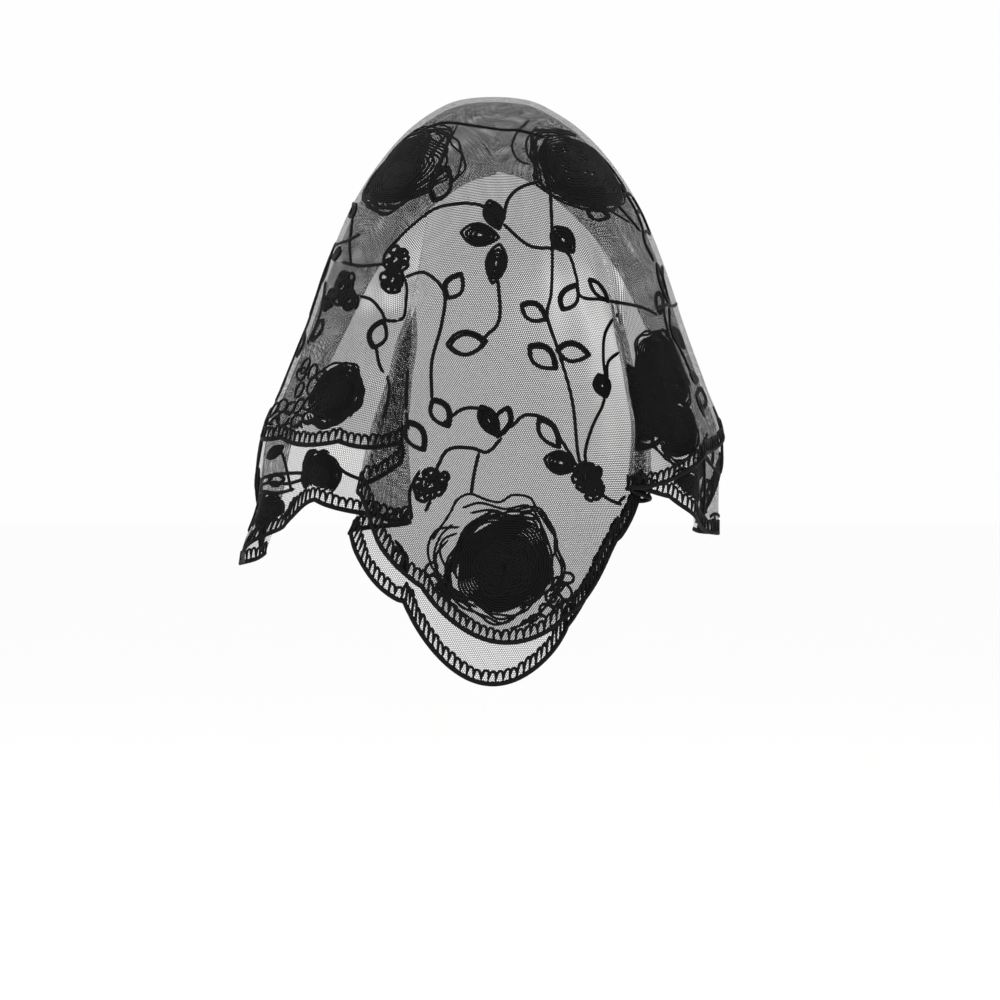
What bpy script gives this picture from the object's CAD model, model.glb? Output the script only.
import math

import bpy
import numpy as np
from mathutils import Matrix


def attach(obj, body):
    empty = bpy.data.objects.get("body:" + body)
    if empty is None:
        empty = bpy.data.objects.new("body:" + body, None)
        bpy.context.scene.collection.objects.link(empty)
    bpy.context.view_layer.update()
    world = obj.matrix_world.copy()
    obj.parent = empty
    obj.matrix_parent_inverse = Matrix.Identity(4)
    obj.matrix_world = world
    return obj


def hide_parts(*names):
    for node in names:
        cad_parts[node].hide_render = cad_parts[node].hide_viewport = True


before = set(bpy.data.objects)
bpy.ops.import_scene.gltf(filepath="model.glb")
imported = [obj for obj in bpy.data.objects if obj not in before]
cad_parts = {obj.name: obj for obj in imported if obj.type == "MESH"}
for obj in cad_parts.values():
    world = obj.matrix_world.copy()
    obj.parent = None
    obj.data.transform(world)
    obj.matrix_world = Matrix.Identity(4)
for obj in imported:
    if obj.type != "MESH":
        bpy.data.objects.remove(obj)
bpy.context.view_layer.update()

# Sizes of the solids, in mm
HEIGHT, HALF_WIDTH, BACK_DEPTH, FRONT_DEPTH = 450, 186, 122, 118
LAYER_STEP, WALL = 4, 1
PLEAT_BEND, PLEAT_FLAT = 4.5, 1.5  # radius of a pleat's bends, least straight between them
PLEAT_LEAD = 50  # a pleat begins to turn this far above its start
PLEAT_EASE = 34  # degrees over which the cloth beside a pleat comes back to its place
CROWN_EASE = 45  # depth over which the pleats' shift of the cloth grows
FLUTE_FULL, RIPPLE_FULL = 0.85, 0.5  # depths, as shares, where flutes and ripples are full
TIP_DEG = 112  # the tails' tips
BORDER = 12.0  # depth of the hem borders

# Level sections: depth, half width, back reach, front reach, drift, as shares.
SECTIONS = np.array([
    (0.0, 0.0, 0.0, 0.0, 0.0),
    (0.005, 0.14, 0.18, 0.18, 0.0),
    (0.026, 0.255, 0.34, 0.345, 0.0),
    (0.057, 0.358, 0.5, 0.49, 0.004),
    (0.109, 0.473, 0.67, 0.64, 0.008),
    (0.187, 0.594, 0.82, 0.76, 0.008),
    (0.291, 0.699, 0.915, 0.85, 0.008),
    (0.396, 0.785, 0.96, 0.92, 0.006),
    (0.5, 0.879, 0.985, 1.0, 0.0),
    (0.578, 0.95, 1.0, 1.07, -0.008),
    (0.707, 0.965, 1.02, 1.15, -0.03),
    (0.784, 0.995, 1.03, 1.2, -0.062),
    (1.0, 1.02, 1.045, 1.25, -0.064),
])
# Pleats: cloth degrees from and to, place, start depth, growth of the overlap.
PLEATS = [(-31.5, -19.5, -25.5, 0.4, 0.28), (33.5, 45.5, 39.5, 0.27, 0.12)]
# Flutes: middle and half width in degrees, lift, start depth.
FLUTES = [
    (-98, 9, 6, 0.3), (-74, 9, 7, 0.25), (-53, 9, 6, 0.3), (-8, 10, 4, 0.35),
    (16, 12, 5, 0.3), (64, 9, 6, 0.3), (82, 8, 5, 0.35), (101, 9, 6, 0.3),
]
# Hem scallops: notch in degrees, its depth, how far the scallop after it hangs.
HEM_OUTER = np.array([
    (-112, 0.789, 0.008), (-99, 0.68, 0.012), (-87, 0.568, 0.012), (-67, 0.59, 0.01),
    (-47, 0.598, 0.01), (-31.5, 0.6, 0.006), (-19.5, 0.69, 0.012), (-5, 0.84, 0.062),
    (17, 0.892, 0.016), (28, 0.765, 0.012), (33.5, 0.685, 0.0), (45.5, 0.675, 0.012),
    (66, 0.615, 0.012), (88, 0.572, 0.012), (100, 0.65, 0.008), (112, 0.747, 0.0),
])
HEM_INNER = np.array([
    (-112, 0.789, 0.006), (-94, 0.805, 0.0), (-76, 0.782, -0.004), (-63, 0.742, -0.01),
    (-53, 0.695, 0.006), (-38, 0.718, 0.006), (-31.5, 0.728, 0.002), (-19.5, 0.75, 0.018),
    (-7.5, 0.864, 0.112), (18, 0.908, 0.004), (28, 0.77, 0.004), (33.5, 0.7, 0.0),
    (45.5, 0.672, 0.002), (55, 0.69, 0.006), (74, 0.748, 0.006), (94, 0.745, 0.006),
    (112, 0.747, 0.0),
])
# Front fold: degrees, depth as a share of the tail tip's.
FRONT_EDGE = np.array([
    (112, 1.0), (116, 0.74), (122, 0.55), (132, 0.37), (146, 0.245), (164, 0.165), (180, 0.14),
])
# Roses: name, its layer, degrees, depth, radius as a share of the half width.
ROSES = [
    ("rose_back_point", 1, 7.4, 0.8, 0.199), ("rose_crown_left", 1, -44, 0.135, 0.188),
    ("rose_crown_right", 1, 43, 0.14, 0.183), ("rose_side_left", 1, -51.5, 0.515, 0.118),
    ("rose_side_right", -1, 57, 0.47, 0.16),
]

# The draped cloth
OUTER, INNER = LAYER_STEP / 2, -LAYER_STEP / 2
RIPPLES = [(0.55, 10.8, 0.3), (0.4, 20.4, 2.1), (0.3, 34.8, 4.0)]  # height, waves round, phase
RIPPLE_SLANT = 90  # depth over which a ripple's phase moves by one


def smooth(x):
    """Eases from 0 to 1."""
    x = np.clip(x, 0, 1)
    return x * x * (3 - 2 * x)


def unit(vectors):
    """The same directions with length 1."""
    return vectors / np.maximum(1e-12, np.linalg.norm(vectors, axis=-1, keepdims=True))


def run_along(points):
    """The run from the first point to each."""
    return np.append(0, np.cumsum(np.linalg.norm(np.diff(points, axis=0), axis=1)))


def circle(count):
    """Even steps round a circle."""
    return np.arange(count) / count * 2 * math.pi


def turned(along, aside, angle):
    """Flat points along and beside a direction."""
    c, s = math.cos(angle), math.sin(angle)
    return np.stack([along * c - aside * s, along * s + aside * c], -1)


def polar(radius, angle):
    """Flat points at a distance and an angle."""
    return np.stack([radius * np.cos(angle), radius * np.sin(angle)], -1)


def curve(xs, ys, x):
    """Smooth curve through the points of a table."""
    i = np.clip(np.searchsorted(xs, x, side="left") - 1, 0, len(xs) - 2)
    last = len(xs) - 1

    def slope(k):
        a, b = np.clip(k - 1, 0, last), np.clip(k + 1, 0, last)
        return (ys[b] - ys[a]) / (xs[b] - xs[a])

    step = xs[i + 1] - xs[i]
    f = np.clip((x - xs[i]) / step, 0, 1)
    f2, f3 = f * f, f * f * f
    return ((2 * f3 - 3 * f2 + 1) * ys[i] + (f3 - 2 * f2 + f) * step * slope(i)
            + (3 * f2 - 2 * f3) * ys[i + 1] + (f3 - f2) * step * slope(i + 1))


def section(depth):
    """Half width, back reach, front reach and drift of the level section at a depth."""
    roots = np.sqrt(SECTIONS[:, 0])
    root = np.sqrt(np.clip(depth / HEIGHT, 0, 1))
    sizes = (HALF_WIDTH, BACK_DEPTH, FRONT_DEPTH, HALF_WIDTH)
    return [size * curve(roots, SECTIONS[:, k + 1], root) for k, size in enumerate(sizes)]


def pleat_at(pleat, depth):
    """How far a pleat's bends have turned at a depth, its straight, arc, reach and rise."""
    start = pleat[3] * HEIGHT
    full = start + 2 * PLEAT_BEND / pleat[4]
    share = smooth((depth - start + PLEAT_LEAD) / (full - start + PLEAT_LEAD))
    turn = np.maximum(1e-4, math.pi * share)
    flat = np.maximum(PLEAT_FLAT, pleat[4] * (depth - start) - 2 * PLEAT_BEND)
    arc = math.pi * PLEAT_BEND / turn
    reach = 2 * arc * np.sin(turn) + flat * np.cos(turn)
    rise = 2 * arc * (1 - np.cos(turn)) + flat * np.sin(turn)
    return turn, flat, arc, reach, rise


def pleat_point(pleat, share):
    """Along and out from a pleat's middle: a bend, a straight and a bend, a third each."""
    turn, flat, arc, reach, rise = pleat
    a = 3 * share * turn
    b = 3 * (1 - share) * turn
    d = (3 * share - 1) * flat
    first, last = share <= 1 / 3, share >= 2 / 3
    run = np.where(first, arc * np.sin(a), np.where(
        last, reach - arc * np.sin(b), arc * np.sin(turn) + d * np.cos(turn)))
    out = np.where(first, arc * (1 - np.cos(a)), np.where(
        last, rise - arc * (1 - np.cos(b)), arc * (1 - np.cos(turn)) + d * np.sin(turn)))
    return run - reach / 2, out - rise / 2


def pleated(deg, depth, reach_of):
    """Where the pleats move each cloth degree to, and how far they lift it."""
    place, out = deg.copy(), np.zeros_like(deg)
    low_cloth, low_place = -90.0, np.full_like(deg, -90.0)
    for pleat in PLEATS:
        start, stop, at = pleat[:3]
        bends = pleat_at(pleat, depth)
        reach, rise = bends[3:]
        half = np.degrees(reach / 2 / reach_of(at))
        panel = (deg > low_cloth) & (deg <= start)
        share = (deg - low_cloth) / (start - low_cloth)
        place = np.where(panel, low_place + (at - half - low_place) * share, place)
        inside = (deg > start) & (deg <= stop)
        run, lift = pleat_point(bends, np.clip((deg - start) / (stop - start), 0, 1))
        place = np.where(inside, at + np.degrees(run / reach_of(at)), place)
        out = out + np.where(inside, lift, np.where(
            deg <= start, -rise / 2 * (1 - smooth((start - deg) / PLEAT_EASE)),
            rise / 2 * (1 - smooth((deg - stop) / PLEAT_EASE))))
        low_cloth, low_place = stop, at + half
    panel = (deg >= low_cloth) & (deg < 90)
    share = (deg - low_cloth) / (90 - low_cloth)
    place = np.where(panel, low_place + (90 - low_place) * share, place)
    return deg + (place - deg) * smooth(depth / CROWN_EASE), out


def waved(deg, depth):
    """How far the flutes and ripples lift the cloth."""
    out = np.zeros_like(deg)
    for at, half, lift, start in FLUTES:
        near = np.clip((deg - at) / half, -1, 1)
        grown = smooth((depth / HEIGHT - start) / (FLUTE_FULL - start))
        out = out + lift * grown * np.cos(near * math.pi / 2) ** 2
    grown = smooth(depth / HEIGHT / RIPPLE_FULL)
    for height, waves, phase in RIPPLES:
        out = out + height * grown * np.sin(np.radians(deg) * waves + phase + depth / RIPPLE_SLANT)
    return out


def surface(deg, depth):
    """The middle surface of the doubled cloth, mm."""
    deg, depth = np.broadcast_arrays(np.asarray(deg, float), np.asarray(depth, float))
    side, back, front, drift = section(depth)

    def reach_of(at):
        a = math.radians(at)
        y = back if abs(at) < 90 else front
        return np.maximum(1, np.hypot(side * math.cos(a), y * math.sin(a)))

    place, lift = pleated(deg, depth, reach_of)
    out = lift + waved(deg, depth)
    a = np.radians(place)
    reach = np.where(np.abs(place) < 90, back, front)
    nx, ny = reach * np.sin(a), -side * np.cos(a)
    n = np.maximum(1e-6, np.hypot(nx, ny))
    return np.stack([
        drift + side * np.sin(a) + out * nx / n,
        -reach * np.cos(a) + out * ny / n,
        LAYER_STEP / 2 + WALL / 2 - depth,
    ], axis=-1)


LEAST_DEPTH = 0.002  # the crown's own middle has no slope to take a normal from
SLOPE_MM, SLOPE_DEG = 0.04, 0.15  # steps to either side that give the slope


def cloth(deg, depth, out):
    """Points off the middle surface along its normal, and the normals."""
    depth = np.maximum(np.asarray(depth, float), LEAST_DEPTH)
    deg, depth = np.broadcast_arrays(np.asarray(deg, float), depth)
    step = np.minimum(SLOPE_MM, depth / 2)
    across = surface(deg + SLOPE_DEG, depth) - surface(deg - SLOPE_DEG, depth)
    down = surface(deg, depth + step) - surface(deg, depth - step)
    normal = unit(np.cross(down, across))
    return surface(deg, depth) + normal * np.asarray(out, float)[..., None], normal


SCALLOP_POWER = 0.8  # below 1 a scallop is fuller than a sine
NET_END = 1.0  # the net stops this far short of the hem


def hem_depth(rows, deg):
    """How deep the hem hangs at a degree."""
    i = np.clip(np.searchsorted(rows[:, 0], deg, side="left") - 1, 0, len(rows) - 2)
    f = np.clip((deg - rows[i, 0]) / (rows[i + 1, 0] - rows[i, 0]), 0, 1)
    line = rows[i, 1] + (rows[i + 1, 1] - rows[i, 1]) * f
    return HEIGHT * (line + rows[i, 2] * np.sin(math.pi * f) ** SCALLOP_POWER)


def edge_depth(rows, deg):
    """Where a layer's net ends: its hem, or the front fold."""
    size = np.abs(deg)
    tip = hem_depth(rows, np.sign(deg) * TIP_DEG) - BORDER
    fold = tip * curve(FRONT_EDGE[:, 0], FRONT_EDGE[:, 1], size)
    hem = hem_depth(rows, deg) - NET_END
    return np.where(size <= TIP_DEG, hem, fold)


# The photograph's camera
MM = 0.001
VIEW_MM = 2500.0  # camera to the crown line
PHOTO_MM = 0.78  # a photo pixel at the crown line
PHOTO_SIDE = 1000
CENTRE_X, CENTRE_Z = 5.0, -309.0  # the middle of the picture
SENSOR_MM, CLIP_END_M = 36, 200

camera = bpy.data.objects.new("camera", bpy.data.cameras.new("camera"))
bpy.context.scene.collection.objects.link(camera)
camera.location = (CENTRE_X * MM, -VIEW_MM * MM, CENTRE_Z * MM)
camera.rotation_euler = (math.pi / 2, 0, 0)
camera.data.sensor_width = SENSOR_MM
camera.data.lens = SENSOR_MM * VIEW_MM / (PHOTO_MM * PHOTO_SIDE)
camera.data.clip_end = CLIP_END_M
bpy.context.scene.camera = camera


def pixels(points):
    """Where points in mm lie in the photograph."""
    scale = VIEW_MM / (VIEW_MM + points[..., 1]) / PHOTO_MM
    return np.stack([
        PHOTO_SIDE / 2 + (points[..., 0] - CENTRE_X) * scale,
        PHOTO_SIDE / 2 - (points[..., 2] - CENTRE_Z) * scale,
    ], axis=-1)


class Finder:
    """Finds the cloth coordinates of the outermost ply under a photo pixel."""

    REACH_DEG, STEP_DEG, STEP_MM = 100, 0.5, 2.0  # the grid that is searched first
    NEAR_PX, PLY_MM = 4, 3  # how near a grid point is, how thick the outermost ply counts
    ROUNDS, NUDGE_DEG, NUDGE_MM = 3, 0.05, 0.1  # the refinement and its trial steps
    LEAST_DET = 0.6  # below this the cloth is seen too steeply to refine
    MOST_DEG, MOST_MM = 1, 4  # the longest correction in one round

    def __init__(self, rows, out):
        self.out = out
        degs = np.arange(-self.REACH_DEG, self.REACH_DEG + 0.01, self.STEP_DEG)
        deg, depth = np.meshgrid(degs, np.arange(1, HEIGHT, self.STEP_MM), indexing="ij")
        keep = depth < hem_depth(rows, deg)
        self.deg, self.depth = deg[keep], depth[keep]
        points, _ = cloth(self.deg, self.depth, out)
        self.y = points[:, 1]
        self.pix = pixels(points)

    def search(self, spot):
        """The grid point nearest a pixel on the ply nearest the camera."""
        gap = np.hypot(*(self.pix - spot).T)
        near = np.flatnonzero(gap < self.NEAR_PX)
        on_cloth = near.size > 0
        if not on_cloth:
            near = np.array([int(np.argmin(gap))])
        front = near[self.y[near] < self.y[near].min() + self.PLY_MM]
        return front[np.argmin(gap[front])], on_cloth

    def find(self, spots):
        """Degrees and depth for each (x, y), and whether it lies on the cloth."""
        spots = np.atleast_2d(np.asarray(spots, float))
        found = [self.search(spot) for spot in spots]
        pick = np.array([k for k, _ in found])
        good = np.array([on_cloth for _, on_cloth in found])
        deg, depth = self.deg[pick], self.depth[pick]
        for _ in range(self.ROUNDS):
            here = pixels(cloth(deg, depth, self.out)[0])
            ja = (pixels(cloth(deg + self.NUDGE_DEG, depth, self.out)[0]) - here) / self.NUDGE_DEG
            jb = (pixels(cloth(deg, depth + self.NUDGE_MM, self.out)[0]) - here) / self.NUDGE_MM
            miss = spots - here
            det = ja[:, 0] * jb[:, 1] - ja[:, 1] * jb[:, 0]
            steep = np.abs(det) < self.LEAST_DET
            det = np.where(steep, 1, det)
            turn = (miss[:, 0] * jb[:, 1] - miss[:, 1] * jb[:, 0]) / det
            drop = (ja[:, 0] * miss[:, 1] - ja[:, 1] * miss[:, 0]) / det
            deg = deg + np.where(steep, 0, np.clip(turn, -self.MOST_DEG, self.MOST_DEG))
            depth = depth + np.where(steep, 0, np.clip(drop, -self.MOST_MM, self.MOST_MM))
        return deg, depth, good

    def place(self, x, y):
        """Degrees and depth at one pixel."""
        deg, depth, _ = self.find((x, y))
        return deg[0], depth[0]


# Materials
MESH_MM = 1.6  # across one six-sided hole of the net
THREAD_HALF, THREAD_SOFT = 0.108, 0.03  # half a thread and its soft edge, as shares of a hole
HALF_CELL = (0.5, 0.866, 0.5)  # from the middle of a cell to that of its slanting neighbour
WAVE_PER_MM = 0.314  # a wave texture of this scale repeats every mm
DARKEST, LIGHTEST = 0.25, 3.2  # range of a thread's colour, as shares of its own


class Shader:
    """A new material and its nodes."""

    def __init__(self, name, inputs):
        self.material = bpy.data.materials.new(name)
        self.material.use_nodes = True
        self.tree = self.material.node_tree
        self.surface = self.tree.nodes["Principled BSDF"]
        self.feed(self.surface, inputs)

    def feed(self, node, inputs):
        """Sets inputs, by name or place, to values or links them to other nodes' outputs."""
        for key, value in inputs.items():
            if isinstance(value, bpy.types.NodeSocket):
                self.tree.links.new(value, node.inputs[key])
            else:
                node.inputs[key].default_value = value

    def node(self, kind, *inputs, **settings):
        """A new node, with its first inputs."""
        made = self.tree.nodes.new("ShaderNode" + kind)
        for key, value in settings.items():
            setattr(made, key, value)
        self.feed(made, dict(enumerate(inputs)))
        return made

    def noise(self, scale):
        """Noise fixed to the object."""
        made = self.node("TexNoise", self.node("TexCoord").outputs["Object"])
        made.inputs["Scale"].default_value = scale
        return made.outputs["Fac"]

    def ramp(self, value, dark, light):
        """Runs from one colour to another."""
        made = self.node("ValToRGB", value)
        made.color_ramp.elements[0].color = (*dark, 1)
        made.color_ramp.elements[1].color = (*light, 1)
        return made.outputs[0]


def hexagon(shader, point):
    """Distance from the middle of the six-sided cell that holds a point: 0.5 at its edge."""
    found = []
    for shift in ((0, 0, 0), HALF_CELL):
        moved = shader.node("VectorMath", point, shift, operation="SUBTRACT").outputs[0]
        low = [-c for c in HALF_CELL]
        wrapped = shader.node("VectorMath", moved, HALF_CELL, low, operation="WRAP").outputs[0]
        size = shader.node("VectorMath", wrapped, operation="ABSOLUTE").outputs[0]
        slant = shader.node("VectorMath", size, (*HALF_CELL[:2], 0), operation="DOT_PRODUCT")
        flat = shader.node("SeparateXYZ", size)
        found.append(shader.node("Math", slant.outputs["Value"], flat.outputs[0], operation="MAXIMUM"))
    return shader.node("Math", *(made.outputs[0] for made in found), operation="MINIMUM").outputs[0]


def net_material():
    """Fine net: thread round six-sided holes, clear between."""
    shader = Shader("net_thread", {"Roughness": 0.7, "Specular IOR Level": 0.06})
    scaled = shader.node("VectorMath", shader.node("UVMap").outputs[0], operation="SCALE")
    scaled.inputs["Scale"].default_value = 1 / MESH_MM
    soft = shader.node("MapRange", interpolation_type="SMOOTHSTEP")
    shader.feed(soft, {"Value": hexagon(shader, scaled.outputs[0]),
                       "From Min": 0.5 - THREAD_HALF - THREAD_SOFT,
                       "From Max": 0.5 - THREAD_HALF + THREAD_SOFT})
    colour = shader.ramp(shader.noise(90.0), (0.004, 0.004, 0.0045), (0.010, 0.010, 0.011))
    shader.feed(shader.surface, {"Alpha": soft.outputs[0], "Base Color": colour})
    return shader.material


def thread_material(name, colour, twist_mm, sheen):
    """Embroidery thread: stitches laid side by side across the cord."""
    shader = Shader(name, {"Roughness": 0.55, "Sheen Weight": sheen, "Sheen Roughness": 0.4,
                           "Specular IOR Level": 0.08})
    wave = shader.node("TexWave", shader.node("UVMap").outputs[0],
                       wave_type="BANDS", bands_direction="DIAGONAL")
    shader.feed(wave, {"Scale": WAVE_PER_MM / twist_mm, "Distortion": 1.2, "Detail": 1.0})
    both = shader.node("Math", wave.outputs["Fac"], shader.noise(240.0), operation="ADD")
    mixed = shader.node("Math", both.outputs[0], 0.5, operation="MULTIPLY")
    dark, light = ([c * share for c in colour] for share in (DARKEST, LIGHTEST))
    bump = shader.node("Bump")
    shader.feed(bump, {"Strength": 0.7, "Distance": 0.0003, "Height": wave.outputs["Fac"]})
    shader.feed(shader.surface, {"Base Color": shader.ramp(mixed.outputs[0], dark, light),
                                 "Normal": bump.outputs[0]})
    return shader.material


NET = net_material()
CORD = thread_material("border_cord", (0.0026, 0.0026, 0.0029), twist_mm=0.9, sheen=0.006)
SATIN = thread_material("satin_stitch", (0.0022, 0.0022, 0.0025), twist_mm=0.6, sheen=0.006)


# Meshes
def make_mesh(name, points, faces, uvs, material):
    """points in mm; uvs one for each corner, in mm."""
    mesh = bpy.data.meshes.new(name)
    faces = np.asarray(faces, np.int32)
    mesh.vertices.add(len(points))
    mesh.vertices.foreach_set("co", (np.asarray(points) * MM).astype(np.float32).ravel())
    mesh.loops.add(faces.size)
    mesh.loops.foreach_set("vertex_index", faces.ravel())
    mesh.polygons.add(len(faces))
    mesh.polygons.foreach_set("loop_start", np.arange(0, faces.size, faces.shape[1], dtype=np.int32))
    mesh.polygons.foreach_set("use_smooth", np.ones(len(faces), bool))
    layer = mesh.uv_layers.new(name="UVMap")
    mesh.update(calc_edges=True)
    layer.data.foreach_set("uv", np.asarray(uvs, np.float32).ravel())
    mesh.validate(clean_customdata=False)
    mesh.materials.append(material)
    made = bpy.data.objects.new(name, mesh)
    bpy.context.scene.collection.objects.link(made)
    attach(made, "root")
    return made


TAPER_END = 0.25  # a tapered cord's end, as a share of its width


def tube_quads(steps, rings, sides, first):
    """Ring and side of each face of a tube, and the numbers of its corners."""
    i, j = np.meshgrid(np.arange(steps), np.arange(sides), indexing="ij")
    i2, j2 = (i + 1) % rings, (j + 1) % sides
    quads = [i * sides + j, i * sides + j2, i2 * sides + j2, i2 * sides + j]
    return i, j, np.stack(quads, -1).reshape(-1, 4) + first


class Thread:
    """Gathers tubes of oval section that lie on the cloth into one mesh."""

    def __init__(self):
        self.points, self.faces, self.uvs, self.count = [], [], [], 0

    def tube(self, line, normals, wide, high, sides=6, closed=False, taper=0):
        """Adds a tube along a line, flat across the normals; sides is even."""
        line, n = np.asarray(line), len(line)
        if n < 3:
            return
        ahead = np.roll(line, -1, 0) - np.roll(line, 1, 0)
        if not closed:
            ahead[0], ahead[-1] = line[1] - line[0], line[-1] - line[-2]
        ahead = unit(ahead)
        across = unit(np.cross(ahead, normals))
        up = np.cross(across, ahead)
        run = run_along(line)
        size = np.ones(n)
        if taper and not closed:
            size = np.minimum(1, TAPER_END + np.minimum(run, run[-1] - run) / taper)
        turn = circle(sides)[:, None]
        ring = np.cos(turn) * across[:, None] * wide + np.sin(turn) * up[:, None] * high
        ring *= size[:, None, None]
        self.points.append((line[:, None] + ring).reshape(-1, 3))
        i, j, quads = tube_quads(n if closed else n - 1, n, sides, self.count)
        self.faces.append(quads)
        side = math.pi * (wide + high) / sides
        run2 = np.append(run, run[-1] + np.linalg.norm(line[0] - line[-1]))
        around = np.stack([j, j + 1, j + 1, j], -1) * side
        along = np.stack([run2[i], run2[i], run2[i + 1], run2[i + 1]], -1)
        self.uvs.append(np.stack([along, around], -1).reshape(-1, 2))
        self.count += n * sides
        if not closed:
            self.cap(self.count - n * sides + np.arange(sides))
            self.cap(self.count - 1 - np.arange(sides))

    def cap(self, ring):
        """Closes one end of a tube with four-sided faces."""
        caps = [(ring[0], *ring[k:k + 3]) for k in range(1, len(ring) - 1, 2)]
        self.faces.append(np.array(caps))
        self.uvs.append(np.zeros((4 * len(caps), 2)))

    def on_cloth(self, deg, depth, out, wide, high, **more):
        """Adds a tube through cloth coordinates, out mm off the middle surface."""
        line, normals = cloth(deg, depth, out)
        self.tube(line, normals, wide, high, **more)

    def build(self, name, material, slot):
        """One piece of all the tubes so far."""
        return make_mesh(name, np.concatenate(self.points), np.concatenate(self.faces),
                         np.concatenate(self.uvs), material)


# The folded net
CROWN_ROWS = [0.00002, 0.0001, 0.0003, 0.0007]  # close rings round the middle of the crown
NET_ROWS = 96
ROW_POWER = 1.45  # rows lie closer near the crown
COLUMN_COUNTS = (150, 44, 56, 44, 140)  # columns outside, through and between the pleats
LEVELS = HEIGHT * (np.arange(0, 121) / 120) ** 2  # depths at which the cloth is measured
BOW_RUN = 350.0  # a level line lies bowed in the flat cloth, less and less below this run
FOLD_TURNS = (45, 90, 135)  # degrees of the front fold's half turn that have points
FOLD_STEP = 1.6  # flat cloth between those points


def columns():
    """Degrees of the net's columns: even steps, closer through the pleats."""
    stops = [-180.0, *PLEATS[0][:2], *PLEATS[1][:2], 180.0]
    parts = [np.linspace(a, b, n, endpoint=False) for a, b, n in zip(stops, stops[1:], COLUMN_COUNTS)]
    return np.append(np.concatenate(parts), 180.0)


def level_lengths(degs, out, pole):
    """Run down from the crown and distance round from the middle of the back, at each level."""
    grid, _ = cloth(degs[:, None], LEVELS[None, :], out)
    grid[:, 0] = pole
    down = np.linalg.norm(np.diff(grid, axis=1), axis=2)
    run = np.concatenate([np.zeros((len(degs), 1)), np.cumsum(down, 1)], 1)
    gaps = np.linalg.norm(np.diff(grid, axis=0), axis=2)
    around = np.concatenate([np.zeros((1, len(LEVELS))), np.cumsum(gaps, 0)])
    return run, around - around[np.argmin(np.abs(degs))]


def net_layer(rows, out, degs):
    """One layer's points by column and row, its flat coordinates and its point on the crown."""
    rest = NET_ROWS - len(CROWN_ROWS)
    share = np.concatenate([CROWN_ROWS, (np.arange(1, rest + 1) / rest) ** ROW_POWER])
    depth = edge_depth(rows, degs)[:, None] * share[None, :]
    points, _ = cloth(degs[:, None], depth, out)
    pole = np.array([0, 0, LAYER_STEP / 2 + WALL / 2 + out])
    run, around = (np.stack([np.interp(d, LEVELS, t) for d, t in zip(depth, table)])
                   for table in level_lengths(degs, out, pole))
    bow = run * (1 + (run / BOW_RUN) ** 2)
    angle = around / bow
    flat = np.stack([bow * np.sin(angle), run - bow * (1 - np.cos(angle))], -1)
    return points, flat, pole


def layer_faces(flat, base, outward):
    """Faces and their flat coordinates for one layer whose points begin at base."""
    n = len(flat) - 1
    i, j = np.meshgrid(np.arange(n), np.arange(NET_ROWS - 1), indexing="ij")
    i2 = (i + 1) % n
    quads = [(i, j), (i, j + 1), (i2, j + 1), (i2, j)]
    corners = [(i, j), (i, j + 1), (i + 1, j + 1), (i + 1, j)]
    if not outward:
        quads, corners = quads[::-1], corners[::-1]
    faces = [np.stack([base + a * NET_ROWS + b for a, b in quads], -1).reshape(-1, 4)]
    uvs = [np.stack([flat[a, b] for a, b in corners], -2).reshape(-1, 2)]
    middle = base + n * NET_ROWS
    for k in range(0, n, 2):
        ring = [k, k + 1, k + 2] if outward else [k + 2, k + 1, k]
        faces.append(np.array([[middle, *(base + r % n * NET_ROWS for r in ring)]]))
        uvs.append(np.array([(0.0, 0.0), *(flat[r, 0] for r in ring)]))
    return faces, uvs


def fold_points(outer_column, inner_column):
    """Points of the half turn from the end of one layer to that of the other."""
    a, b = outer_column[-1], inner_column[-1]
    down = unit(a - outer_column[-2])
    half = np.linalg.norm(a - b) / 2
    turns = [math.radians(turn) for turn in FOLD_TURNS]
    return [(a + b) / 2 + (a - b) / 2 * math.cos(t) + down * half * math.sin(t) for t in turns]


def front_fold(degs, grids, flat, bases, base):
    """Points, faces and flat coordinates of the fold that joins the two layers in front."""
    n, last = len(degs) - 1, NET_ROWS - 1
    front = [k for k in range(n + 1) if abs(degs[k]) >= TIP_DEG - 1e-6]
    ends, points = {}, []
    for k in front:
        m = k % n
        if m in ends:
            continue
        ids = base + len(points) + np.arange(len(FOLD_TURNS))
        points += fold_points(grids[0][k], grids[1][k])
        ends[m] = [bases[0] + m * NET_ROWS + last, *ids, bases[1] + m * NET_ROWS + last]
    faces, uvs = [], []
    for k in front:
        if k + 1 not in front:
            continue
        p, q = ends[k % n], ends[(k + 1) % n]
        for s in range(len(FOLD_TURNS) + 1):
            faces.append((p[s], p[s + 1], q[s + 1], q[s]))
            near, far = (0, s * FOLD_STEP), (0, (s + 1) * FOLD_STEP)
            here, there = flat[k, last], flat[k + 1, last]
            uvs += [here + near, here + far, there + far, there + near]
    return np.array(points), np.array(faces), np.array(uvs)


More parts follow.
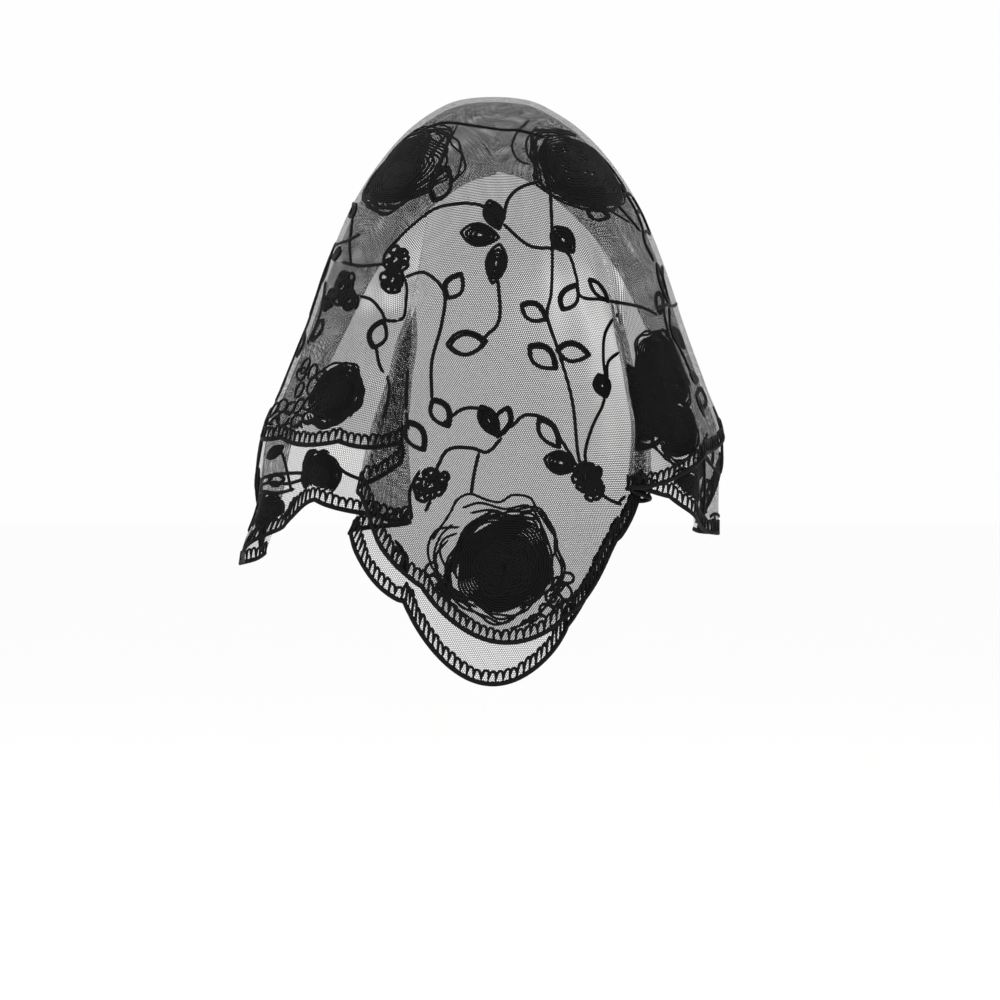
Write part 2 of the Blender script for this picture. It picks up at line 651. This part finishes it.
def folded_net():
    """Both layers and the fold in front, as one piece."""
    degs = columns()
    points, faces, uvs, grids, flats, bases = [], [], [], [], [], []
    base = 0
    for rows, out, outward in ((HEM_OUTER, OUTER, True), (HEM_INNER, INNER, False)):
        grid, flat, pole = net_layer(rows, out, degs)
        points += [grid[:-1].reshape(-1, 3), pole[None, :]]
        made_faces, made_uvs = layer_faces(flat, base, outward)
        faces += made_faces
        uvs += made_uvs
        grids.append(grid)
        flats.append(flat)
        bases.append(base)
        base += (len(degs) - 1) * NET_ROWS + 1
    fold = front_fold(degs, grids, flats[0], bases, base)
    for whole, part in zip((points, faces, uvs), fold):
        whole.append(part)
    net = make_mesh("lace_net", np.concatenate(points), np.concatenate(faces),
                    np.concatenate(uvs), NET)
    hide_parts("folded_net")
    return net


# Hem borders
HEM_STEPS = 6000  # places at which a hem is measured
CORD_STEP = 1.1  # between the points of a cord
HEM_CORD, HEM_HIGH = 1.75, 1.15  # half width and half height of the cord along the hem
EDGE_CORD, EDGE_HIGH, EDGE_RISE = 0.75, 0.7, 2.9  # the same of the thin cord, and its place
LUMPS = [(0.072, 2.9, 0), (0.06, 1.3, 1)]  # unevenness of the hem's cord: height, rate, phase
EDGE_WAVE, EDGE_RATE = 0.25, 1.7
LOOP_CORD, LOOP_CORD_HIGH, LOOP_LIFT = 1.1, 0.85, 0.25
LOOP_PITCH, LOOP_HIGH, LOOP_RISE = 5.5, 8.2, 2.6  # spacing, height, and the foot's place
LOOP_POINTS, LOOP_LEAN = 12, 0.9
WANDER = [(0.45, 2.3), (0.35, 5.1)]  # how uneven the loops are: mm, rate


def hem_run(rows):
    """Degrees along a hem, and the run to each."""
    deg = np.linspace(-TIP_DEG, TIP_DEG, HEM_STEPS)
    return deg, run_along(surface(deg, hem_depth(rows, deg)))


def up_from_hem(rows, deg, rise):
    """Depths that lie rise mm above the hem, square to it."""
    before, after = np.maximum(-TIP_DEG, deg - 1), np.minimum(TIP_DEG, deg + 1)
    hem = surface(after, hem_depth(rows, after)) - surface(before, hem_depth(rows, before))
    depth = hem_depth(rows, deg)
    down = (surface(deg, depth) - surface(deg, depth - 2)) / 2
    square = np.maximum(0.5, np.linalg.norm(np.cross(down, unit(hem)), axis=-1))
    return depth - rise / square


def hem_cords(thread, rows, out, deg, run):
    """The thick cord along the hem and the thin one above it."""
    at = np.arange(0, run[-1], CORD_STEP)
    d = np.interp(at, run, deg)
    line, normals = cloth(d, up_from_hem(rows, d, HEM_CORD), out)
    lumps = sum(height * np.sin(at * rate + phase) for height, rate, phase in LUMPS)
    thread.tube(line + normals * lumps[:, None], normals, HEM_CORD, HEM_HIGH, sides=8)
    rise = EDGE_RISE + EDGE_WAVE * np.sin(at * EDGE_RATE)
    thread.on_cloth(d, up_from_hem(rows, d, rise), out, EDGE_CORD, EDGE_HIGH)


def ladder(thread, rows, out, deg, run):
    """One thread in upright loops side by side."""
    k = np.arange(int(run[-1] / LOOP_PITCH))[:, None]
    u = np.arange(LOOP_POINTS)[None] / LOOP_POINTS
    wander = sum(size * np.sin(k * rate) for size, rate in WANDER)
    shape = np.clip(1 - np.abs(2 * u - 1) ** 3.6, 0, 1) ** 0.55
    x = ((k + u) * LOOP_PITCH + LOOP_LEAN * (shape - 0.5) + wander * shape).ravel()
    y = (LOOP_RISE + (LOOP_HIGH + wander) * shape).ravel()
    d = np.interp(np.clip(x, 0, run[-1]), run, deg)
    thread.on_cloth(d, up_from_hem(rows, d, y), out + LOOP_LIFT, LOOP_CORD, LOOP_CORD_HIGH)


def border(name, rows, out, node_name):
    """The ladder edging of one layer's hem."""
    thread = Thread()
    deg, run = hem_run(rows)
    hem_cords(thread, rows, out, deg, run)
    ladder(thread, rows, out, deg, run)
    made = thread.build(name, CORD, "border_cord")
    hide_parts(node_name)
    return made


# Embroidery
VINE, LEAF, PETAL = 1.4, 1.3, 1.0  # half widths of the cords of vines, leaves and loose petals
ROUND, CURL = 1.0, 1.25  # of a rose's rounds, and of its curls and the openwork
BUD_MIDDLE, BUD_PETAL = 1.4, 1.5
CORD_FLAT = 0.75  # a cord's height to its width
CORD_TAPER = 2.5  # run over which a cord's end grows to its width
LIFT = 0.45  # the cords lie this far above the middle of the net
SPLINE_STEP, SPIRAL_STEP, SPIRAL_START = 1.6, 1.7, 0.6
JUMP_DEG, JUMP_MM = 2.5, 9  # a longer step passes to another ply
FLANK_DEG, SIDE_DEG = 52, 56  # past these the cloth turns away, and leaves are drawn on the cloth
EASE_ROUNDS = 6
DEG_MM = 2.5  # a degree of the sides, in mm
LEAF_FILLED, LEAF_OPEN = (1, 0.74, 0.5, 0.26), (1, 0.82)  # a leaf's rounds, as shares of its size
LEAF_POINTS, BUD_POINTS, RING_POINTS = 25, 17, 15
BUD_PETALS, CURLS = 9, 5
ANY_TURN = 6.28  # random angles run up to a whole turn


def spline(points):
    """A smooth line through a few points, at about even steps."""
    p = np.asarray(points, float)
    if len(p) == 2:
        n = max(3, int(np.linalg.norm(p[1] - p[0]) / SPLINE_STEP))
        return p[0] + (p[1] - p[0]) * np.linspace(0, 1, n)[:, None]
    gaps = np.linalg.norm(np.diff(p, axis=0), axis=1)
    run = np.concatenate([[0], np.cumsum(np.sqrt(gaps))])
    t = np.linspace(0, run[-1], max(4, int(gaps.sum() / SPLINE_STEP)))
    return np.stack([curve(run, p[:, k], t) for k in (0, 1)], -1)


def pieces_of(deg, depth, keep):
    """Splits a line where it leaves the cloth or jumps from one ply to another."""
    runs, now = [], []
    for k in range(len(deg)):
        last = now[-1] if now else k
        jump = abs(deg[k] - deg[last]) > JUMP_DEG or abs(depth[k] - depth[last]) > JUMP_MM
        if jump or not keep[k]:
            runs.append(now)
            now = []
        if keep[k]:
            now.append(k)
    runs.append(now)
    return [r for r in runs if len(r) > 2]


def leaf_outline(angle, length, width):
    """A pointed leaf, tip to stem, round its middle."""
    t = circle(LEAF_POINTS)
    u = np.cos(t) * length / 2
    v = np.sin(t) * np.abs(np.sin(t)) ** 0.8 * width / 2 * 1.08 * (1 - 0.18 * np.cos(t))
    return turned(u, v, math.radians(angle))


def spiral(radius, pitch, lobes, wave, seed):
    """A wavy spiral of cord, from the middle out."""
    rng = np.random.default_rng(seed)
    rounds = (radius - SPIRAL_START) / pitch
    count = int(rounds * math.pi * (radius + SPIRAL_START) / SPIRAL_STEP)
    s = np.sqrt(np.linspace(0, 1, count))
    r = SPIRAL_START + (radius - SPIRAL_START) * s
    a = 2 * math.pi * rounds * s
    bend = np.zeros_like(r)
    for k in range(4):
        bend += rng.uniform(0.4, 1) * np.sin((lobes + k) * a + rng.uniform(0, ANY_TURN)
                                            + r / radius * rng.uniform(-3, 3))
    return polar(r * (1 + wave * bend * (0.25 + 0.75 * r / radius)), a)


class Layer:
    """The embroidery of one layer of net."""

    def __init__(self, name, rows, out):
        self.name, self.rows, self.out = name, rows, out
        self.finder = Finder(rows, out)
        self.vines, self.leaves = Thread(), Thread()

    def metric(self, deg, depth):
        """Cloth mm for a degree and for a mm of depth, measured clear of the pleats."""
        for start, stop in (pleat[:2] for pleat in PLEATS):
            if start - 2 < deg < stop + 2:
                deg = start - 3 if start < 0 else stop + 3
        wide = np.linalg.norm(surface(deg + 1, depth) - surface(deg - 1, depth)) / 2
        tall = np.linalg.norm(surface(deg, depth + 1) - surface(deg, depth - 1)) / 2
        return wide, tall

    def lay(self, thread, deg, depth, good, wide, closed=False):
        """Lays a cord through cloth coordinates, cut off at the hem border."""
        end = edge_depth(self.rows, deg) - np.where(np.abs(deg) <= TIP_DEG, BORDER - 1, 0)
        runs = pieces_of(deg, depth, good & (depth < end))
        whole = closed and len(runs) == 1 and len(runs[0]) == len(deg)
        for run in runs:
            thread.on_cloth(deg[run], depth[run], self.out + LIFT, wide, wide * CORD_FLAT,
                            closed=whole, taper=0 if closed else CORD_TAPER)

    def seen(self, thread, spots, wide, closed=False):
        """A cord through photo pixels, eased where the cloth turns away."""
        deg, depth, good = self.finder.find(spots)
        for _ in range(0 if closed else EASE_ROUNDS):
            jump = np.abs(np.diff(deg)) > JUMP_DEG
            flank = np.zeros(len(deg), bool)
            flank[1:-1] = (np.abs(deg[1:-1]) > FLANK_DEG) & ~jump[1:] & ~jump[:-1]
            for line in (deg, depth):
                eased = line.copy()
                eased[1:-1] = (line[:-2] + 2 * line[1:-1] + line[2:]) / 4
                line[flank] = eased[flank]
        self.lay(thread, deg, depth, good, wide, closed)

    def local(self, thread, deg, depth, flat, wide, closed=False):
        """A cord drawn flat, in mm, round a place on the cloth."""
        across, tall = self.metric(deg, depth)
        self.lay(thread, deg + flat[:, 0] / across, depth + flat[:, 1] / tall,
                 np.ones(len(flat), bool), wide, closed)

    def leaf(self, x, y, angle, length, width, filled=False):
        """A pointed leaf in two rounds of cord, or filled with more, by photo pixels."""
        deg, depth = self.finder.place(x, y)
        if abs(deg) > SIDE_DEG:
            self.leaf_on(deg, depth, angle, length * PHOTO_MM, width * PHOTO_MM * 1.2, filled)
            return
        a = math.radians(angle + 90)
        for shrink in LEAF_FILLED if filled else LEAF_OPEN:
            aside = 0 if filled else width * (1 - shrink) / 3
            outline = leaf_outline(angle, length * shrink, width * shrink)
            self.seen(self.leaves, outline + (x, y) + polar(aside, a), LEAF, closed=True)

    def leaf_on(self, deg, depth, angle, length, width, filled=False):
        """The same at a place on the cloth, in mm."""
        for shrink in LEAF_FILLED if filled else LEAF_OPEN:
            outline = leaf_outline(angle, length * shrink, width * shrink)
            self.local(self.leaves, deg, depth, outline, LEAF, closed=True)

    def vine(self, spots):
        """A vine through photo pixels."""
        self.seen(self.vines, spline(spots), VINE)

    def vine_on(self, places):
        """A vine through degrees and depths on the cloth."""
        line = spline([(deg * DEG_MM, depth) for deg, depth in places])
        self.lay(self.vines, line[:, 0] / DEG_MM, line[:, 1], np.ones(len(line), bool), VINE)

    def bud(self, seed, x, y, radius, core):
        """A small rose: a tight middle and lapping petals round it."""
        deg, depth = self.finder.place(x, y)
        rng = np.random.default_rng(seed)
        middle = spiral(radius * core, pitch=2.2, lobes=3, wave=0.08, seed=seed)
        self.local(self.leaves, deg, depth, middle, BUD_MIDDLE)
        turn = circle(BUD_POINTS)
        for k in range(BUD_PETALS):
            a = (k + rng.uniform(-0.35, 0.35)) / BUD_PETALS * 2 * math.pi
            far = radius * rng.uniform(0.5, 0.78)
            wide, tall = radius * rng.uniform(0.28, 0.5), radius * rng.uniform(0.16, 0.34)
            along, aside = tall * np.cos(turn), wide * np.sin(turn) * (1 + 0.25 * np.cos(2 * turn))
            petal = turned(far + along, aside, a)
            self.local(self.leaves, deg, depth, petal, BUD_PETAL, closed=True)

    def ring(self, x, y, radius):
        """A small round of cord, of the openwork beside the roses."""
        turn = circle(RING_POINTS)
        size = radius * PHOTO_MM * 1.15 * (1 + 0.14 * np.sin(2 * turn + x))
        deg, depth = self.finder.place(x, y)
        self.local(self.leaves, deg, depth, polar(size, turn), CURL, closed=True)

    def build(self):
        """Makes the vines and the leaves two pieces."""
        for kind, thread in (("vines", self.vines), ("leaves", self.leaves)):
            thread.build(f"{kind}_{self.name}", SATIN, "embroidery")


outer = Layer("outer", HEM_OUTER, OUTER)
inner = Layer("inner", HEM_INNER, INNER)

# Vines, by the photo pixels they run through.
VINES_OUTER = [
    [(386, 252), (412, 226), (440, 207), (479, 205), (503, 222)],
    [(503, 222), (508, 200), (520, 188), (541, 181)],
    [(503, 224), (530, 246), (565, 251), (576, 277), (580, 296), (603, 300), (640, 307), (657, 315)],
    [(550, 187), (552, 240), (551, 292), (547, 316), (557, 347), (572, 401), (578, 455), (583, 468)],
    [(498, 280), (499, 320), (483, 339)],
    [(405, 277), (425, 273), (444, 292), (442, 323), (432, 362), (432, 400)],
    [(360, 296), (372, 300), (382, 312), (386, 320), (398, 321)],
    [(376, 346), (380, 366), (389, 382), (388, 400), (383, 420)],
    [(442, 425), (463, 409), (486, 409)],
    [(510, 428), (526, 415), (549, 421), (561, 440), (575, 462)],
    [(434, 474), (448, 450), (471, 448), (487, 452), (502, 438)],
    [(479, 452), (474, 474), (471, 495)],
    [(596, 490), (608, 499), (622, 505)],
    [(427, 128), (446, 123), (480, 127), (500, 130), (520, 131), (545, 138)],
    [(408, 368), (407, 388), (406, 410)],
    [(343, 262), (360, 266), (386, 264)],
    [(617, 205), (632, 222), (640, 232)],
    [(431, 500), (425, 512)],
    [(640, 470), (630, 490), (618, 503)],
    [(409, 430), (406, 412)],
]
VINES_INNER = [
    [(617, 313), (605, 333), (603, 357), (605, 380), (603, 403), (592, 427), (585, 452), (587, 468)],
    [(622, 350), (608, 362), (607, 380)],
    [(335, 464), (346, 473), (362, 480)],
    [(281, 449), (286, 465), (292, 492)],
    [(706, 533), (708, 520), (714, 513), (722, 518)],
    [(710, 533), (712, 524), (717, 520), (723, 526)],
    [(395, 540), (403, 552), (400, 570)],
    [(420, 470), (410, 492), (412, 520)],
]
# Leaves, in photo pixels: middle, angle, length, width, and whether filled.
FILLED = True
LEAVES_OUTER = [
    (441, 184, -68, 38, 20), (480, 235, 8, 38, 20, FILLED), (494, 215, 70, 30, 17, FILLED),
    (496, 264, 100, 40, 18, FILLED), (454, 286, -60, 29, 18), (378, 334, -70, 30, 17),
    (467, 343, -5, 40, 22), (534, 312, 30, 30, 17), (569, 297, -60, 30, 17),
    (543, 357, 40, 36, 20), (573, 352, 10, 34, 18), (441, 413, 60, 32, 18),
    (416, 436, 60, 34, 18), (549, 433, 55, 36, 16), (561, 463, 15, 34, 20, FILLED),
    (563, 240, 50, 32, 20, FILLED), (598, 214, 15, 24, 12),
]
LEAVES_INNER = [
    (489, 421, 60, 34, 16, FILLED), (503, 422, 110, 32, 15),
    (602, 386, 70, 24, 15, FILLED), (275, 452, -25, 24, 8, FILLED), (277, 480, -5, 22, 9),
    (400, 560, 70, 26, 14),
]
# Buds: middle in photo pixels, radius in mm, share of the tight middle.
BUDS_OUTER = [
    (431, 485, 13, 0.45), (588, 477, 12, 0.8), (594, 488, 9, 0.8), (343, 287, 13, 0.75),
    (350, 300, 9, 0.8), (337, 254, 6, 0.8), (396, 259, 10, 0.6), (393, 279, 10, 0.55),
]
BUDS_INNER = [(330, 300, 9, 0.6)]
# Rounds of openwork beside the left rose and under the back one, in photo pixels: middle, radius.
RINGS_OUTER = [
    (302, 374, 6), (313, 386, 7), (300, 390, 6), (322, 376, 5), (324, 391, 6), (311, 402, 7),
    (299, 406, 6), (323, 407, 6), (309, 418, 6), (297, 421, 6), (284, 418, 7), (274, 424, 6),
    (287, 431, 6), (321, 421, 6), (306, 366, 6), (291, 408, 6), (283, 406, 6), (274, 410, 6),
    (268, 416, 6), (268, 430, 6), (278, 434, 5), (297, 431, 6), (303, 427, 6), (313, 372, 6),
    (433, 582, 5), (438, 592, 6), (431, 569, 5), (444, 603, 5), (450, 612, 6), (443, 588, 5),
    (459, 621, 5), (468, 627, 5), (565, 592, 6), (556, 601, 5), (558, 584, 5), (547, 611, 6),
    (536, 620, 5), (526, 627, 5), (551, 596, 5), (567, 578, 5),
]

# The sides, where the cloth turns out of the photo: vines by degrees and depth; leaves by the
# same, then angle, and length and width in mm.
VINES_OUTER_SIDE = [
    [(-80, 82), (-69, 92), (-60, 118), (-55, 134)], [(-84, 116), (-64, 114), (-55, 110)],
    [(-84, 112), (-90, 140), (-95, 172), (-91, 204), (-97, 236)], [(-76, 122), (-84, 150), (-86, 168)],
    [(-101, 140), (-106, 165), (-104, 190)],
    [(-35, 177), (-32.5, 174), (-30.5, 163), (-29.6, 153), (-30.4, 144)],
    [(60, 62), (66, 84), (65, 102), (61, 116), (63, 131)], [(60, 80), (66, 77), (73, 78)],
    [(65, 95), (70, 90), (76, 91)], [(62, 110), (69, 106), (75, 108)], [(73, 78), (76, 92), (75, 108)],
    [(57, 167), (66, 163), (74, 163), (83, 160)], [(66, 165), (63, 184), (67, 204), (70, 214)],
    [(98, 128), (106, 146), (111, 168), (112, 192), (108, 222)],
]
LEAVES_OUTER_SIDE = [
    (32.5, 154, 52, 21, 11),
    (-71, 90, 30, 17, 10), (-93, 132, 120, 22, 12), (-88, 160, 60, 22, 12, FILLED),
    (-98, 190, 110, 22, 12), (-91, 222, 60, 22, 12), (-84, 160, 80, 18, 10),
    (-109, 178, 70, 20, 11),
    (66, 148, 80, 34, 14), (72, 218, 12, 17, 9, FILLED), (68, 240, 70, 18, 10),
    (112, 156, 60, 20, 11), (106, 184, 115, 20, 11, FILLED), (113, 210, 60, 20, 11),
    (104, 232, 60, 20, 11),
]
VINES_INNER_SIDE = [
    [(69.5, 268), (71, 288), (72.5, 305), (72.2, 320), (71, 334)],
    [(70, 276), (74, 281), (79, 289), (83, 292)],
    [(105, 258), (109, 274), (107, 292), (108, 310), (105, 322)],
    [(-57, 291), (-63, 291), (-69, 292), (-77, 296), (-87, 304), (-94, 316), (-98, 336)],
    [(-58, 296), (-64, 299), (-71, 298), (-80, 304), (-88, 314), (-93, 332)],
    [(-61, 303), (-68, 306), (-75, 305), (-82, 313)],
]
LEAVES_INNER_SIDE = [
    (104.5, 276, 110, 17, 10), (110, 290, 60, 15, 9, FILLED), (104.5, 303, 120, 17, 10),
]
BUD_SEED = 3  # first random seed
OUTER_SIDE, INNER_SIDE = (VINES_OUTER_SIDE, LEAVES_OUTER_SIDE), (VINES_INNER_SIDE, LEAVES_INNER_SIDE)
for layer, (side_vines, side_leaves), vines, leaves, buds, rings in (
        (outer, OUTER_SIDE, VINES_OUTER, LEAVES_OUTER, BUDS_OUTER, RINGS_OUTER),
        (inner, INNER_SIDE, VINES_INNER, LEAVES_INNER, BUDS_INNER, [])):
    for line in side_vines:
        layer.vine_on(line)
    for leaf in side_leaves:
        layer.leaf_on(*leaf)
    for line in vines:
        layer.vine(line)
    for leaf in leaves:
        layer.leaf(*leaf)
    for seed, bud in enumerate(buds, BUD_SEED):
        layer.bud(seed, *bud)
    for ring in rings:
        layer.ring(*ring)


def petal_line(rng, radius, start, span):
    """One wavy line round part of a rose."""
    a = np.linspace(start, start + span, max(20, int(radius * span / 1.5)))
    waves = 0.05 * np.sin(5 * a + rng.uniform(0, 0.8))
    r = radius * (1 + waves + 0.02 * np.sin(11 * a + rng.uniform(0, 6)))
    ends = np.minimum(1, np.minimum(a - a[0], a[-1] - a) / 0.35)
    return polar(r * (0.92 + 0.08 * ends), a)


def rose(layer, name, deg, depth, radius, seed, node_name=None, outlines=(), petals=7):
    """A dense round of wavy cord with petals lying loose round it."""
    thread = Thread()
    rng = np.random.default_rng(seed + 50)
    middle = spiral(radius * 0.95, pitch=1.9, lobes=4, wave=0.022, seed=seed)
    layer.local(thread, deg, depth, middle, ROUND)
    for k in range(CURLS):
        off = rng.uniform(-0.3, 0.3, 2) * radius
        size = radius * rng.uniform(0.25, 0.5)
        curl = spiral(size, pitch=2.6, lobes=3, wave=0.05, seed=seed + k)
        layer.local(thread, deg, depth, curl + off, CURL)
    for k in range(petals):
        start, span = rng.uniform(0, ANY_TURN), rng.uniform(1.4, 2.8)
        for step in range(2):
            far = radius * (0.97 + 0.06 * (k % 4) + 0.045 * step)
            line = petal_line(rng, far, start + 0.1 * step, span)
            layer.local(thread, deg, depth, line, PETAL)
    for line in outlines:
        layer.seen(thread, spline(line), PETAL)
    made = thread.build(name, SATIN, "embroidery")
    if node_name:
        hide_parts(node_name)
    return made


# Roses of the inner layer with no solid of their own: name, photo pixel, radius in mm.
FLAT_ROSES = [
    ("rose_pleat_right", 640, 405, 29), ("rose_low_right", 678, 430, 22),
    ("rose_low_left", 321, 474, 18), ("rose_tail_left", 270, 513, 15),
    ("rose_tail_right", 687, 492, 16),
]
FLAT_SEED, PETAL_ROOM = 10, 4  # first random seed; mm of radius to a loose petal
# Loose petal lines of the raised roses, by the photo pixels they run through.
OUTLINES = {
    "rose_back_point": [
        [(432, 540), (450, 513), (457, 500), (470, 494), (487, 500), (500, 502), (513, 495),
         (530, 498), (537, 510), (548, 527), (557, 543), (550, 563)],
        [(460, 527), (437, 530), (428, 547), (432, 567), (443, 577)],
        [(457, 533), (443, 540), (440, 553), (447, 570)],
        [(430, 580), (437, 597), (450, 617), (473, 630), (497, 637), (520, 630), (540, 617)],
        [(457, 627), (483, 646), (513, 643), (537, 627)],
        [(436, 572), (444, 598), (462, 619), (488, 629), (516, 627), (540, 613), (557, 590)],
        [(448, 540), (436, 556), (440, 582), (452, 604), (470, 618)],
        [(453, 524), (440, 537), (434, 560), (446, 590)],
        [(462, 508), (480, 503), (505, 509), (528, 506), (540, 522), (547, 545)],
        [(470, 513), (492, 510), (512, 516), (532, 514), (545, 534), (552, 560), (549, 585)],
        [(556, 545), (562, 566), (556, 590), (541, 611), (520, 624)],
        [(448, 606), (466, 628), (492, 640), (520, 636), (545, 620), (560, 598)],
    ],
    "rose_side_left": [
        [(318, 374), (335, 363), (350, 368), (358, 384), (358, 402), (350, 418)],
        [(322, 376), (338, 367), (352, 376), (355, 396), (349, 414)],
    ],
    "rose_crown_left": [
        [(458, 125), (447, 147), (440, 160), (430, 177), (410, 193)],
        [(443, 137), (430, 157), (423, 170), (407, 187)],
        [(452, 128), (436, 150), (430, 166), (412, 186)],
    ],
    "rose_crown_right": [
        [(530, 120), (517, 133), (512, 147), (518, 160), (530, 165)],
        [(537, 127), (527, 140), (527, 153), (533, 163)],
        [(543, 128), (536, 143), (537, 156)],
        [(563, 197), (590, 200), (613, 213), (630, 223)],
        [(588, 212), (598, 209), (608, 217), (596, 220), (588, 212)],
    ],
}

net = folded_net()
border_outer = border("ladder_border_outer", HEM_OUTER, OUTER, "border_outer")
border_inner = border("ladder_border_inner", HEM_INNER, INNER, "border_inner")
for seed, (name, side, deg, down, share) in enumerate(ROSES):
    rose(outer if side > 0 else inner, f"{name}_stitched", deg, down * HEIGHT,
                      share * HALF_WIDTH, seed, name, OUTLINES.get(name, ()))
for seed, (name, x, y, radius) in enumerate(FLAT_ROSES, FLAT_SEED):
    rose(inner, f"{name}_stitched", *inner.finder.place(x, y), radius, seed,
                      petals=int(radius / PETAL_ROOM))
outer.build()
inner.build()


# Stage and light
FLOOR_Z, FLOOR_HALF = -0.80, 60.0
FLOOR_COLOUR, FLOOR_ROUGH, SURROUND = (0.985, 0.985, 0.983, 1), 0.9, 0.99
# Lamps: name, place, side, power.
LAMPS = [("key", (-1.4, -2.0, 1.3), 1.6, 22), ("fill", (1.8, -1.2, 0.7), 1.8, 10)]


def floor():
    """A pale floor under the held-up veil."""
    mesh = bpy.data.meshes.new("floor")
    r, z = FLOOR_HALF, FLOOR_Z
    mesh.from_pydata([(-r, -r, z), (r, -r, z), (r, r, z), (-r, r, z)], [], [(0, 1, 2, 3)])
    made = bpy.data.objects.new("floor", mesh)
    bpy.context.scene.collection.objects.link(made)
    pale = Shader("floor_pale", {"Base Color": FLOOR_COLOUR, "Roughness": FLOOR_ROUGH})
    mesh.materials.append(pale.material)


def light():
    """An even pale surround and two soft lamps."""
    world = bpy.data.worlds.new("surround")
    world.use_nodes = True
    background = world.node_tree.nodes["Background"]
    background.inputs["Color"].default_value = (1, 1, 1, 1)
    background.inputs["Strength"].default_value = SURROUND
    bpy.context.scene.world = world
    for name, place, size, power in LAMPS:
        lamp = bpy.data.lights.new(name, "AREA")
        lamp.size, lamp.energy = size, power
        made = bpy.data.objects.new(name, lamp)
        made.location = place
        made.rotation_euler = (-made.location).to_track_quat("-Z", "Y").to_euler()
        bpy.context.scene.collection.objects.link(made)


floor()
light()
bpy.context.scene.view_settings.view_transform = "Standard"
bpy.context.scene.view_settings.look = "None"
bpy.context.scene.cycles.transparent_max_bounces = 24
